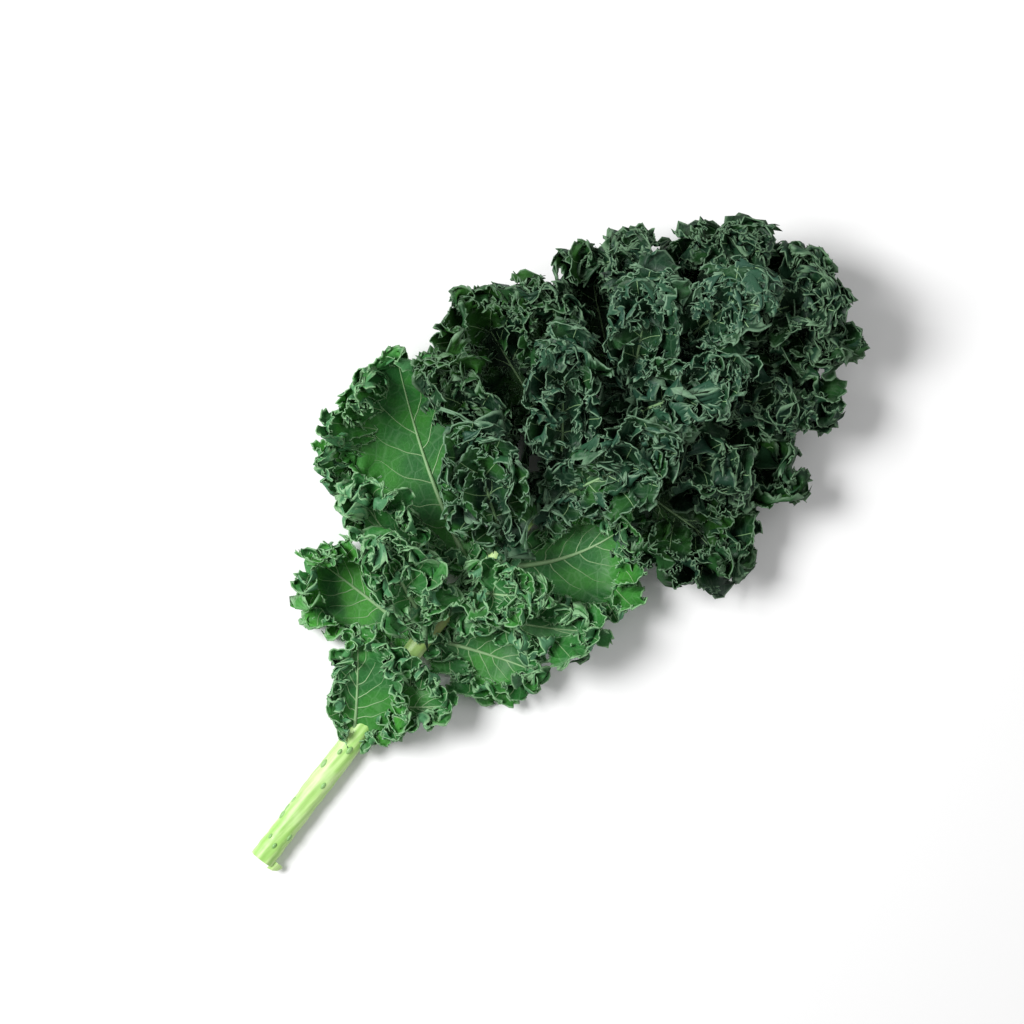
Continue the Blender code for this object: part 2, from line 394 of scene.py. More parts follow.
RIB_MATERIAL = make_rib_material()
STALK_MATERIAL = make_stalk_material()
print("rib and stalk materials made")

# %% [markdown]
# ## Where the leaflets stand
#
# Each leaflet has its own rib, which leaves the midrib at some distance along X, sags or rises
# to a middle point and ends somewhere else. A blade spreads to the left and right of it. The
# rows follow the sizes of the solids, so that every leaflet covers its own solid.

# %% Sizes of the leaflets
# root along X, middle and end of the rib, half width to the left and right, all in mm, and
# how far towards the end the blade is widest (more is further)
LEAFLETS_MM = {
    "basal_left": (-133, (-114, -10, 17), (-90, 13, 24), 11, 26, 1.0),
    "basal_right": (-110, (-100, -33, 15), (-84, -47, 18), 26, 11, 1.1),
    "left_1": (-72, (-77, 25, -3), (-81, 57, 20), 27, 19, 1.4),
    "left_2": (-31, (-8, 46, -4), (22, 98, 24), 49, 33, 1.8),
    "left_3": (44, (57, 45, -3), (69, 95, 28), 41, 30, 1.8),
    "left_4": (84, (106, 35, 0), (127, 66, 26), 27, 22, 1.4),
    "left_5": (120, (148, 17, 10), (175, 26, 34), 18, 20, 1.3),
    "right_1": (-70, (-55, -40, -3), (-41, -68, 16), 20, 21, 1.6),
    "right_2": (-22, (10, -36, -3), (45, -46, 14), 20, 35, 1.5),
    "right_3": (54, (64, -57, -3), (70, -101, 22), 33, 34, 1.6),
    "right_4": (84, (102, -48, 0), (112, -95, 22), 28, 30, 1.9),
    "right_5": (116, (139, -40, 10), (154, -77, 28), 20, 27, 1.7),
    "right_6": (142, (166, -30, 18), (183, -59, 36), 20, 18, 1.5),
    "mid_left_1": (-50, (-46, 34, 24), (-40, 64, 34), 14, 15, 1.4),
    "mid_left_2": (8, (24, 44, 24), (36, 80, 36), 15, 13, 1.4),
    "mid_left_3": (62, (82, 42, 26), (92, 72, 38), 13, 13, 1.4),
    "mid_left_4": (104, (128, 32, 32), (143, 52, 44), 12, 13, 1.3),
    "mid_right_1": (-48, (-28, -46, 18), (-4, -74, 26), 12, 13, 1.4),
    "mid_right_2": (64, (86, -42, 26), (98, -72, 36), 14, 14, 1.4),
    "mid_right_3": (100, (126, -40, 30), (142, -66, 40), 13, 13, 1.4),
    "mid_tip_left": (140, (168, 9, 38), (187, 16, 50), 11, 11, 1.2),
    "mid_tip_right": (134, (170, -22, 42), (198, -37, 50), 13, 13, 1.2),
    "inner_1": (-66, (-58, 12, 32), (-50, 38, 42), 13, 18, 1.3),
    "inner_2": (-38, (-28, -24, 28), (-12, -42, 34), 17, 14, 1.0),
    "inner_3": (-8, (6, 18, 33), (22, 44, 44), 21, 20, 1.2),
    "inner_4": (20, (52, -20, 38), (88, -32, 48), 18, 17, 1.2),
    "inner_5": (36, (60, 18, 42), (88, 44, 52), 18, 17, 1.2),
    "inner_6": (76, (106, -18, 46), (138, -30, 58), 17, 16, 1.2),
    "inner_7": (90, (112, 16, 50), (140, 32, 62), 17, 15, 1.2),
    "inner_8": (118, (144, -2, 54), (174, -8, 65), 16, 15, 1.2),
    "terminal": (162, (182, -8, 27), (200, -18, 40), 17, 21, 1.1),
}
SLOTS = {part["node"]: part["material_slot"] for part in frame["record"]["subparts"]}
print("leaflets:", len(LEAFLETS_MM))

# %% [markdown]
# ## A smooth blade first
#
# A crisped blade is a smooth one whose edge has grown too long for it, so the smooth blade
# comes first. A point on it has a place round the edge, from 0 at the base on the left over
# 0.5 at the tip to 1 at the base on the right, and a depth, from 0 at the rib to 1 at the
# edge. Rays run out from the rib in the flat blade, and the curl bends each ray upwards more
# and more towards the edge. The bend is an integral, so it is worked out once in a table.

# %% Bending
BEND_ANGLES = np.linspace(0, np.pi * 1.2, 61)
BEND_STEPS = np.linspace(0, 1.3, 131)
CURL_POWER = 1.8


def make_bend_table():
    """How far a blade runs out and rises, for each total bend and depth."""
    step = BEND_STEPS[1] - BEND_STEPS[0]
    middles = 0.5 * (BEND_STEPS[1:] + BEND_STEPS[:-1])
    angle = BEND_ANGLES[:, None] * middles[None, :] ** CURL_POWER
    start = np.zeros((len(BEND_ANGLES), 1))
    run = np.concatenate([start, np.cumsum(np.cos(angle), axis=1) * step], axis=1)
    rise = np.concatenate([start, np.cumsum(np.sin(angle), axis=1) * step], axis=1)
    return run, rise


BEND_TABLES = make_bend_table()


def bend(angle, depth):
    """Reads the bend tables between their steps."""
    row = np.clip(angle / BEND_ANGLES[1], 0, len(BEND_ANGLES) - 1.001)
    column = np.clip(depth / BEND_STEPS[1], 0, len(BEND_STEPS) - 1.001)
    i = row.astype(int)
    j = column.astype(int)
    u = row - i
    v = column - j
    found = []
    for table in BEND_TABLES:
        near = table[i, j] * (1 - v) + table[i, j + 1] * v
        far = table[i + 1, j] * (1 - v) + table[i + 1, j + 1] * v
        found.append(near * (1 - u) + far * u)
    return found


half_turn = bend(np.full(1, np.pi), np.ones(1))
print("a blade bent by 180 degrees reaches", half_turn[0].round(2), "of its depth")


def smooth(value):
    value = np.clip(value, 0.0, 1.0)
    return value * value * (3 - 2 * value)


def slow_noise(count, knots, rng):
    """Smooth random values between -1 and 1 along a line."""
    places = np.linspace(0, knots, count)
    values = rng.uniform(-1, 1, knots + 1)
    index = np.minimum(places.astype(int), knots - 1)
    t = smooth(places - index)
    return values[index] * (1 - t) + values[index + 1] * t


# %% The smooth blade
RAY_SHARE = 0.9        # rays start on this part of the rib, from its root
RAY_POWER = 1.15       # how much denser they start near its root
FULLNESS = 0.6         # the smaller, the blunter both ends of the outline
OUTLINE_WAVES = ((6, 0.06), (10, 0.05))    # half waves round the edge, height
CURL_STEPS = 200
CURL_UNEVENNESS = 0.22
MOST_STRETCH = 1.7     # a bent ray is lengthened to reach the outline, up to this bend


class Blade:
    """The even, uncrisped surface of one blade."""

    def __init__(self, root, middle, end, left, right, widest, curl, rng):
        self.root = root
        self.end = end
        self.handle = 2 * middle - 0.5 * (root + end)
        line = self.rib(np.linspace(0, 1, 60))
        self.length = float(np.linalg.norm(np.diff(line, axis=0), axis=1).sum())
        self.left = left
        self.right = right
        self.widest = widest
        self.curl = curl
        self.phases = rng.uniform(0, 2 * np.pi, 2)
        self.curl_noise = slow_noise(CURL_STEPS, 6, rng)

    def rib(self, share):
        """The rib is a parabola, and goes straight on past its end."""
        inside = np.clip(share, 0, 1)[..., None]
        point = (1 - inside) ** 2 * self.root + 2 * inside * (1 - inside) * self.handle
        point = point + inside ** 2 * self.end
        beyond = np.maximum(share - 1, 0)[..., None]
        return point + beyond * 2 * (self.end - self.handle)

    def rib_axes(self, share):
        """Across and upward directions at places along the rib."""
        share = np.clip(share, 0, 1)[..., None]
        forward = (1 - share) * (self.handle - self.root) + share * (self.end - self.handle)
        forward /= np.linalg.norm(forward, axis=-1, keepdims=True)
        across = np.cross(np.array([0, 0, 1.0]), forward)
        across /= np.linalg.norm(across, axis=-1, keepdims=True)
        return across, np.cross(forward, across)

    def curl_at(self, place):
        uneven = np.interp(place, np.linspace(0, 1, CURL_STEPS), self.curl_noise)
        return np.radians(self.curl * (1 + CURL_UNEVENNESS * uneven))

    def flat(self, place):
        """Start of a ray on the rib and its vector to the edge, in the flat blade."""
        q = np.clip(1 - np.abs(2 * place - 1), 0, 1)
        side = np.where(place < 0.5, 1.0, -1.0)
        width = np.where(place < 0.5, self.left, self.right)
        along = 0.5 - 0.5 * np.cos(np.pi * q)
        out = width * np.maximum(np.sin(np.pi * along ** self.widest), 0) ** FULLNESS
        longer = 1
        for (waves, height), phase in zip(OUTLINE_WAVES, self.phases):
            longer = longer + height * np.sin(waves * np.pi * place + phase)
        bent = np.minimum(self.curl_at(place), MOST_STRETCH)
        longer = longer / bend(bent, np.ones_like(q))[0]
        start = RAY_SHARE * self.length * q ** RAY_POWER
        return start, (self.length * along - start) * longer, out * side * longer

    def point(self, place, depth):
        start, ray_x, ray_y = self.flat(place)
        run, rise = bend(self.curl_at(place), depth)
        reach = np.hypot(ray_x, ray_y)
        x = (start + run * ray_x) / self.length
        across, upward = self.rib_axes(x)
        return self.rib(x) + (run * ray_y)[..., None] * across + (rise * reach)[..., None] * upward

    def lean(self, place, depth):
        """The direction square to the surface, on its upper side."""
        step = 0.002
        along = self.point(place + step, depth) - self.point(place - step, depth)
        deep = np.maximum(depth, 0.05)
        outward = self.point(place, deep + 0.02) - self.point(place, deep - 0.02)
        normal = np.cross(along, outward)
        return normal / np.maximum(np.linalg.norm(normal, axis=-1, keepdims=True), 1e-12)

    def row_length(self, depth):
        probe = np.linspace(BASE_GAP, 1 - BASE_GAP, 300)
        row = self.point(probe, np.full(len(probe), depth))
        return float(np.linalg.norm(np.diff(row, axis=0), axis=1).sum())


# %% [markdown]
# ## The smooth blade as a guide
#
# Geometry Nodes can read a surface wherever it likes, with Sample UV Surface, so each smooth
# blade becomes a small mesh whose `sheet` attribute holds place and depth as if they were a UV
# map. Next to it the mesh carries the direction square to the surface and the reach from rib
# to edge. It goes a little past the edge and a little behind the rib, because a sample that
# misses the mesh comes back as zero.

# %% Guide meshes
GUIDE_PLACES = 91
GUIDE_DEPTHS = 20
DEEPEST = 1.25


def put(name, data):
    piece = bpy.data.objects.new(name, data)
    bpy.context.scene.collection.objects.link(piece)
    return piece


def add_object(name, points, faces, edges=()):
    mesh = bpy.data.meshes.new(name)
    mesh.from_pydata(np.asarray(points).tolist(), list(edges), faces)
    return put(name, mesh)


def store(piece, name, values):
    """Puts one number or one vector on every point of a piece."""
    kind = "FLOAT" if values.ndim == 1 else "FLOAT_VECTOR"
    if values.dtype.kind == "i":
        kind = "INT"
    layer = piece.data.attributes.new(name, kind, "POINT")
    stored = values.astype(np.int32 if kind == "INT" else np.float32).ravel()
    layer.data.foreach_set("vector" if values.ndim == 2 else "value", stored)


def drop(piece):
    mesh = piece.data
    bpy.data.objects.remove(piece)
    bpy.data.meshes.remove(mesh)


def grid_faces(rows, columns):
    faces = []
    for j in range(rows - 1):
        for i in range(columns - 1):
            a = j * columns + i
            faces.append((a, a + 1, a + 1 + columns, a + columns))
    return faces


GUIDE_FACES = grid_faces(GUIDE_DEPTHS, GUIDE_PLACES)


def make_guide(name, blade):
    depths = np.concatenate([[-0.02], np.linspace(0, DEEPEST, GUIDE_DEPTHS - 1)])
    place, spread = np.meshgrid(np.linspace(0.005, 0.995, GUIDE_PLACES), depths)
    place = place.ravel()
    spread = spread.ravel()
    depth = np.maximum(spread, 0.0)
    guide = add_object(name + "_guide", blade.point(place, depth), GUIDE_FACES)
    _, ray_x, ray_y = blade.flat(place)
    store(guide, "sheet", np.column_stack([place, spread, 0 * depth]))
    store(guide, "lean", blade.lean(place, depth))
    store(guide, "reach", np.hypot(ray_x, ray_y))
    return guide


print("faces in a guide:", len(GUIDE_FACES))

# %% [markdown]
# ## Folds of four sizes
#
# The edge of a growing kale leaf gets longer than its rib allows. It buckles into broad
# waves, those buckle into smaller ones, and each finer size starts nearer the edge. Here a
# row of points runs along the blade at each depth. Its direction swings up and down by a sum
# of four waves, and a swing near 90 degrees folds the row back on itself into the loops that
# kale is known for. The length of a row divided by the average cosine of one swing gives the
# length that the next size has to fill.

# %% Sizes of the folds
FOLDS = {  # spacing along the row in mm, swing in degrees, the depth at which it starts
    "Large": (22, 40, 0.10), "Middle": (11, 92, 0.32),
    "Small": (5.8, 68, 0.58), "Finest": (3.4, 30, 0.80),
}
SMOOTH_STARTS = {"Large": 0.30, "Middle": 0.50, "Small": 0.66, "Finest": 0.85}
CRISP_STARTS = {name: start for name, (_, _, start) in FOLDS.items()}
BASE_GAP = 0.03       # part of the edge left open at each side of the rib's root
POINT_STEP = 1.9 * MM
TOOTH_SPACING = 4 * MM
CORE_TEETH = 0.06     # depth of the teeth, as a part of the reach from rib to edge
LOBE_TEETH = 0.24


def count_folds(blade, strength):
    """How many folds of each size the edge holds, and the length of the crisped edge."""
    probe = np.linspace(0, 2 * np.pi, 200)
    edge = blade.row_length(1.0)
    counts = {}
    for name, (spacing, swing, _) in FOLDS.items():
        counts[name] = max(round(edge / (spacing * MM)), 2)
        edge /= np.cos(math.radians(swing * strength) * np.sin(probe)).mean()
    return counts, edge


for fold_name, (spacing, swing, start) in FOLDS.items():
    print(f"{fold_name.lower()} folds: one each {spacing} mm, from {start:.0%} of the depth")

# %% [markdown]
# ## Rows of points
#
# The crisped edge of a blade is several times as long as its rib, so the row at the edge
# needs a point every two millimetres while the row at the rib needs very few. Each row here
# has as many points as the next one out or half as many, and the faces between them are quads
# or threes, so that nothing is left open.

# %% Rows
WIDE_ROWS = (  # depth, and how many steps of the edge row make one step of this row
    (0.0, 8), (0.12, 8), (0.24, 8), (0.35, 4), (0.45, 4), (0.54, 4), (0.62, 2), (0.70, 2),
    (0.77, 2), (0.83, 2), (0.88, 2), (0.92, 1), (0.96, 1), (1.0, 1),
)
LOBE_ROWS = (
    (0.0, 8), (0.2, 8), (0.37, 4), (0.52, 4), (0.66, 2), (0.79, 2), (0.90, 1), (1.0, 1),
)


def stitch(counts):
    """Faces between rows of points, wound so that the upper side of the blade is up."""
    starts = np.cumsum([0] + counts)
    faces = []
    for k in range(len(counts) - 1):
        a, b = int(starts[k]), int(starts[k + 1])
        for i in range(counts[k] - 1):
            if counts[k] == counts[k + 1]:
                faces.append((a + i, a + i + 1, b + i + 1, b + i))
            else:
                faces.append((a + i, b + 2 * i + 1, b + 2 * i))
                faces.append((a + i, a + i + 1, b + 2 * i + 1))
                faces.append((a + i + 1, b + 2 * i + 2, b + 2 * i + 1))
    return faces


def make_rows(name, blade, edge, rows):
    """The blade before it is crisped, unrolled: one row of points for each depth."""
    columns = math.ceil(edge / POINT_STEP / 16) * 16
    counts = [columns // coarse + 1 for _, coarse in rows]
    place = np.concatenate([np.linspace(0, 1, count) for count in counts])
    depth = np.repeat([deep for deep, _ in rows], counts)
    sheet = np.column_stack([place, depth, 0 * depth])
    piece = add_object(name, sheet, stitch(counts))
    store(piece, "sheet", sheet)
    store(piece, "row", np.repeat(np.arange(len(rows)), counts))
    store(piece, "row_length", np.repeat([blade.row_length(deep) for deep, _ in rows], counts))
    return piece


# %% [markdown]
# ## One size of fold as a group
#
# The four sizes of fold do the same thing with other numbers, so they share one node group.
# It is a sine wave along the row. A slow random value hurries it along or holds it back, and
# another makes it stronger or weaker, because no two folds of a leaf are alike.


# %% The fold group
def make_fold_group():
    nodes, given, result = make_tree("one size of fold", "GeometryNodeTree", {
        "Place": 0.0, "Depth": 0.0, "Folds": 10.0, "Swing": 1.5, "Start": 0.3, "Seed": 0.0,
        "Uneven Spacing": 0.22, "Uneven Swing": 0.16,
    }, {"Turn": "Float"})
    lane = given["Place"] * given["Folds"]
    pace = nodes.wander(nodes.line(lane, 0.8, given["Seed"] * 37.7))
    phase = nodes.line(pace, given["Uneven Spacing"], lane)
    phase = nodes.line(phase, 2 * math.pi, given["Seed"] * 1.7)
    strength = nodes.wander(nodes.line(lane, 0.9, nodes.line(given["Seed"], 51.3, 9.4)))
    swing = nodes.line(strength, given["Uneven Swing"], 1.0) * given["Swing"]
    onset = nodes.smoothstep(given["Depth"], given["Start"], 1.0) ** 0.8
    nodes.join(nodes.math("SINE", phase) * swing * onset, result["Turn"])
    return nodes.tree


# %% [markdown]
# ## Helpers for shapes
#
# The three trees for shapes read and write attributes, look a value up on a surface, and end
# in the same two nodes: Realize Instances, so that nothing is left as an instance, and Set
# Material.

# %% Helpers for shapes
VECTOR = "FLOAT_VECTOR"


def read(nodes, name, kind="FLOAT"):
    return nodes.geo("InputNamedAttribute", Name=name, data_type=kind)


def write(nodes, geometry, name, value, domain="POINT", kind="FLOAT"):
    return nodes.geo("StoreNamedAttribute", Geometry=geometry, Name=name, Value=value,
                     data_type=kind, domain=domain)


def position(nodes):
    return nodes.geo("InputPosition")


def read_object(nodes, source):
    return nodes.geo("ObjectInfo", Object=source, transform_space="RELATIVE", label="Geometry")


def sample(nodes, surface, value, spot, kind=VECTOR):
    """The value of a surface with a sheet attribute at a place and depth on it."""
    return nodes.geo("SampleUVSurface", Mesh=surface, Value=value, Sample_UV=spot,
                     UV_Map=read(nodes, "sheet", VECTOR), data_type=kind)


def move(nodes, geometry, spot):
    return nodes.geo("SetPosition", Geometry=geometry, Position=spot)


def gather(nodes, *geometries):
    node = nodes.tree.nodes.new("GeometryNodeJoinGeometry")
    for geometry in geometries:
        nodes.join(geometry, node.inputs[0])
    return Value(nodes, node.outputs[0])


def add_line(nodes, points):
    return nodes.geo("ResampleCurve", Curve=nodes.geo("CurvePrimitiveLine"), Count=points)


def add_tube(nodes, line, radius, sides):
    ring = nodes.geo("CurvePrimitiveCircle", Resolution=sides, Radius=1.0)
    return nodes.geo("CurveToMesh", Curve=line, Profile_Curve=ring, Scale=radius, Fill_Caps=True)


def make_real(nodes, geometry, material):
    real = nodes.geo("RealizeInstances", Geometry=geometry)
    return nodes.geo("SetMaterial", Geometry=real, Material=material)


# %% [markdown]
# ## Crisping a blade
#
# This tree adds the four waves up to one angle for each point. Accumulate Field sums the
# cosine and the sine of that angle row by row, which gives the way along the blade and the
# way off it. The second sum is a leaky one, so that it doesn't drift: far folds are forgotten
# at a rate set by Hold. Then the guide is sampled at the new place, and the point goes there
# and off it along the lean. Small teeth are added at the edge, and soft limits stop the blade
# at the table and at the outline of the whole leaf.

# %% The crisping tree
EDGE_GUARD = 0.008     # keeps samples inside the guide
COSINE_BIAS = 0.04     # keeps a strongly folded row from running backwards


def running_sum(nodes, value, row):
    """The sum up to the middle of each point of a row, and the whole row's sum."""
    before, after, total = nodes.outs(
        ("Leading", "Trailing", "Total"), "GeometryNodeAccumulateField", Value=value,
        Group_ID=row, data_type="FLOAT", domain="POINT")
    return (before + after) * 0.5, total


def soft_limit(nodes, value, limit, zone, side):
    """Stops a value at a limit, with a soft start a zone before it. side: 1 above, -1 below."""
    over = nodes.math("MINIMUM", (limit - value) * side / zone - 1.0, 0.0)
    stopped = nodes.line(nodes.math("EXPONENT", over) * zone, -side, limit)
    return nodes.math("MINIMUM" if side > 0 else "MAXIMUM", value, stopped)


def add_turns(nodes, given, fold, place, depth):
    turns = []
    for number, name in enumerate(FOLDS):
        turns.append(nodes.geo(
            "Group", node_tree=fold, Place=place, Depth=depth, Folds=given[name + " Folds"],
            Swing=given[name + " Swing"], Start=given[name + " Start"],
            Seed=given["Seed"] + 3.1 * number))
    return sum(turns)


def add_teeth(nodes, given, place, depth):
    beat = place * given["Teeth"]
    beat = nodes.line(nodes.wander(beat * 0.6), 0.3, beat)
    tooth = nodes.math("ABSOLUTE", nodes.math("SINE", beat * math.pi))
    near_edge = nodes.smoothstep(depth, 0.75, 1.0)
    return depth + (0.45 - tooth) * given["Tooth Depth"] * near_edge


def make_crisping_tree(fold):
    sizes = {"Geometry": "Geometry", "Smooth Blade": "Object"}
    for name, (_, swing, start) in FOLDS.items():
        sizes[name + " Folds"] = 10.0
        sizes[name + " Swing"] = math.radians(swing)
        sizes[name + " Start"] = start
    sizes.update({
        "Hold": 1.6, "Base Gap": BASE_GAP, "Taper": 14 * MM,
        "Teeth": 100.0, "Tooth Depth": CORE_TEETH,
        "Low Corner": (-0.213, -0.107, 0.0006), "High Corner": (0.214, 0.1055, 0.0705),
        "Zone": 3 * MM, "Seed": 0.0, "Material": "Material",
    })
    nodes, given, result = make_tree("crisped blade", "GeometryNodeTree", sizes,
                                     {"Geometry": "Geometry"})
    place, depth, _ = nodes.split(read(nodes, "sheet", VECTOR))
    row = read(nodes, "row", "INT")
    turn = add_turns(nodes, given, fold, place, depth)

    along, whole = running_sum(nodes, nodes.math("COSINE", turn) + COSINE_BIAS, row)
    growth = nodes.math("EXPONENT", given["Hold"] * given["Large Folds"] * place)
    off, _ = running_sum(nodes, nodes.math("SINE", turn) * growth, row)
    off = off / growth / whole

    used_part = nodes.line(given["Base Gap"], -2.0, 1.0)
    new_place = nodes.line(along / whole, used_part, given["Base Gap"])
    new_place = nodes.math("MAXIMUM", new_place, EDGE_GUARD)
    new_place = nodes.math("MINIMUM", new_place, 1 - EDGE_GUARD)
    spot = nodes.whole(new_place, add_teeth(nodes, given, place, depth), 0.0)

    guide = read_object(nodes, given["Smooth Blade"])
    ground = sample(nodes, guide, position(nodes), spot)
    lean = sample(nodes, guide, read(nodes, "lean", VECTOR), spot)
    reach = sample(nodes, guide, read(nodes, "reach"), spot, "FLOAT")
    taper = nodes.math("MINIMUM", reach / given["Taper"], 1.0)
    swing = off * read(nodes, "row_length") * taper
    moved = nodes.vector("ADD", ground, nodes.vector("SCALE", lean, Scale=swing))

    axes = []
    for value, low, high in zip(nodes.split(moved), nodes.split(given["Low Corner"]),
                                nodes.split(given["High Corner"])):
        value = soft_limit(nodes, value, low, given["Zone"], -1)
        axes.append(soft_limit(nodes, value, high, given["Zone"], 1))

    kept = write(nodes, given["Geometry"], "to_margin", (1.0 - depth) * reach)
    placed = move(nodes, kept, nodes.whole(*axes))
    nodes.join(make_real(nodes, placed, given["Material"]), result["Geometry"])
    return nodes.tree


CRISPING = make_crisping_tree(make_fold_group())

# %% [markdown]
# ## Ribs, side veins and thickness
#
# So far a blade is a sheet without thickness. A second tree gives it a body. A tube that gets
# thinner follows the sheet's middle as the rib, and thin tubes curve away from it as side
# veins: both are lines whose points are moved on to the crisped sheet, so they ride over
# every fold. Extrude Mesh pushes a copy of the sheet half a millimetre down, and with its
# upper side put back it is a closed solid. The attribute `side` tells its two sides apart.


# %% The body tree
def add_rib(nodes, given):
    """A tube from the root over the middle of the sheet, almost to the tip."""
    share = nodes.geo("SplineParameter", label="Factor")
    reach = share * 0.965
    on_rib = nodes.math("MINIMUM", reach, RAY_SHARE) / RAY_SHARE
    place = (on_rib ** (1 / RAY_POWER) * 0.5 - BASE_GAP) / (1 - 2 * BASE_GAP)
    depth = nodes.math("MAXIMUM", reach - RAY_SHARE, 0.0) / (1 - RAY_SHARE)
    place = nodes.math("MAXIMUM", place, 0.003)
    depth = nodes.math("MAXIMUM", depth, 0.002)
    spot = sample(nodes, given["Geometry"], position(nodes), nodes.whole(place, depth, 0.0))
    spot = nodes.mix(nodes.smoothstep(share, 0.0, 0.06), given["Root"], spot, "VECTOR")
    slim = given["Rib End Radius"] - given["Rib Radius"]
    radius = nodes.line(slim, share ** 0.75, given["Rib Radius"])
    x, y, z = nodes.split(spot)
    spot = nodes.whole(x, y, nodes.math("MAXIMUM", z, radius + 0.1 * MM))
    line = move(nodes, add_line(nodes, given["Rib Points"]), spot)
    return add_tube(nodes, line, radius, given["Rib Sides"])


def add_side_veins(nodes, given):
    """Thin tubes in pairs, that leave the rib and bend towards the tip."""
    points = nodes.geo("MeshLine", Count=given["Side Veins"] * 2.0)
    points = write(nodes, points, "vein", nodes.geo("InputIndex"))
    many = nodes.geo("InstanceOnPoints", Points=points, Instance=add_line(nodes, 16))
    many = nodes.geo("RealizeInstances", Geometry=many)
    share = nodes.geo("SplineParameter", label="Factor")
    number = read(nodes, "vein")
    side = nodes.math("MODULO", number, 2.0)
    order = nodes.line(side, 0.35, nodes.math("FLOOR", number * 0.5)) + 0.45
    place = nodes.line(order / given["Side Veins"], 0.30, 0.10)
    place = nodes.line(share ** 1.6, 0.045, place)
    wobble = nodes.wander(nodes.line(share, 2.0, number * 5.7))
    place = nodes.line(wobble, 0.006, place)
    place = nodes.mix(side, place, 1.0 - place, "FLOAT")
    depth = nodes.line(share, given["Vein Reach"], 0.002)
    spot = sample(nodes, given["Geometry"], position(nodes), nodes.whole(place, depth, 0.0))
    radius = given["Vein Radius"] * nodes.line(share, -0.75, 1.0)
    return add_tube(nodes, move(nodes, many, spot), radius, 6)


def add_thickness(nodes, given):
    """A closed shell: the sheet, its rim and its underside, marked by the attribute side."""
    _, depth, _ = nodes.split(read(nodes, "sheet", VECTOR))
    closed = nodes.geo("MergeByDistance", Geometry=given["Geometry"], Distance=0.05 * MM,
                       Selection=nodes.math("LESS_THAN", depth, 0.0001))
    mesh, top, rim = nodes.outs(
        ("Mesh", "Top", "Side"), "GeometryNodeExtrudeMesh", Mesh=closed,
        Offset_Scale=given["Thickness"] * -1.0, Individual=False)
    under = write(nodes, mesh, "side", nodes.line(rim, 0.5, top), "FACE")
    under = nodes.geo("FlipFaces", Mesh=under)
    return nodes.geo("MergeByDistance", Geometry=gather(nodes, closed, under),
                     Distance=0.001 * MM)


def make_body_tree():
    nodes, given, result = make_tree("leaflet body", "GeometryNodeTree", {
        "Geometry": "Geometry", "Thickness": 0.5 * MM, "Root": (0.0, 0.0, 0.0),
        "Rib Radius": 1.3 * MM, "Rib End Radius": 0.2 * MM, "Rib Points": 44, "Rib Sides": 10,
        "Side Veins": 4, "Vein Radius": 0.35 * MM, "Vein Reach": 0.6,
        "Blade Material": "Material", "Rib Material": "Material",
    }, {"Geometry": "Geometry"})
    ribs = gather(nodes, add_rib(nodes, given), add_side_veins(nodes, given))
    ribs = write(nodes, ribs, "is_rib", True, "FACE", "BOOLEAN")
    whole = gather(nodes, add_thickness(nodes, given), ribs)
    whole = nodes.geo("SetShadeSmooth", Geometry=whole)
    done = make_real(nodes, whole, given["Blade Material"])
    done = nodes.geo("SetMaterial", Geometry=done, Material=given["Rib Material"],
                     Selection=read(nodes, "is_rib", "BOOLEAN"))
    nodes.join(done, result["Geometry"])
    return nodes.tree


BODY = make_body_tree()

# %% [markdown]
# ## From trees to plain meshes
#
# A modifier's result is only seen while the modifier is there, and the export wants plain
# meshes. So each object is evaluated, the result becomes its own plain mesh, and the modifiers
# go.


# %% Making one blade
def keep_result(piece):
    graph = bpy.context.evaluated_depsgraph_get()
    made = bpy.data.meshes.new_from_object(
        piece.evaluated_get(graph), preserve_all_data_layers=True, depsgraph=graph)
    piece.modifiers.clear()
    old = piece.data
    piece.data = made
    bpy.data.meshes.remove(old)


def make_blade(name, blade, material, rng, rows, starts, strength, body):
    """One crisped blade with its rib, as a plain mesh."""
    counts, edge = count_folds(blade, strength)
    guide = make_guide(name, blade)
    piece = make_rows(name, blade, edge, rows)
    sizes = {"Smooth Blade": guide, "Seed": float(rng.uniform(0, 9)), "Material": material,
             "Teeth": edge / TOOTH_SPACING,
             "Tooth Depth": LOBE_TEETH if rows is LOBE_ROWS else CORE_TEETH}
    for fold, (_, swing, _) in FOLDS.items():
        sizes[fold + " Folds"] = float(counts[fold])
        sizes[fold + " Swing"] = math.radians(swing * strength)
        sizes[fold + " Start"] = starts[fold]
    add_tree(piece, CRISPING, sizes)
    add_tree(piece, BODY, {
        "Root": [float(v) for v in blade.root], "Blade Material": material,
        "Vein Radius": min(0.35 * MM, 0.3 * body["Rib Radius"]), "Rib Material": RIB_MATERIAL,
        **body})
    keep_result(piece)
    drop(guide)
    return piece


# %% [markdown]
# ## Lobes round a leaflet
#
# A leaflet of curly kale is cut into lobes, and each lobe has a vein of its own and a crisped
# edge. The open leaflets near the stalk have short lobes round a broad smooth middle. On the
# crowded ones a second ring of lobes starts at the rib and stands up, so from above only
# their edges show. A leaflet is built that way: one blade for its middle and one or two rings
# of smaller blades, which stand on the leaflet's smooth surface with their ends lifted.

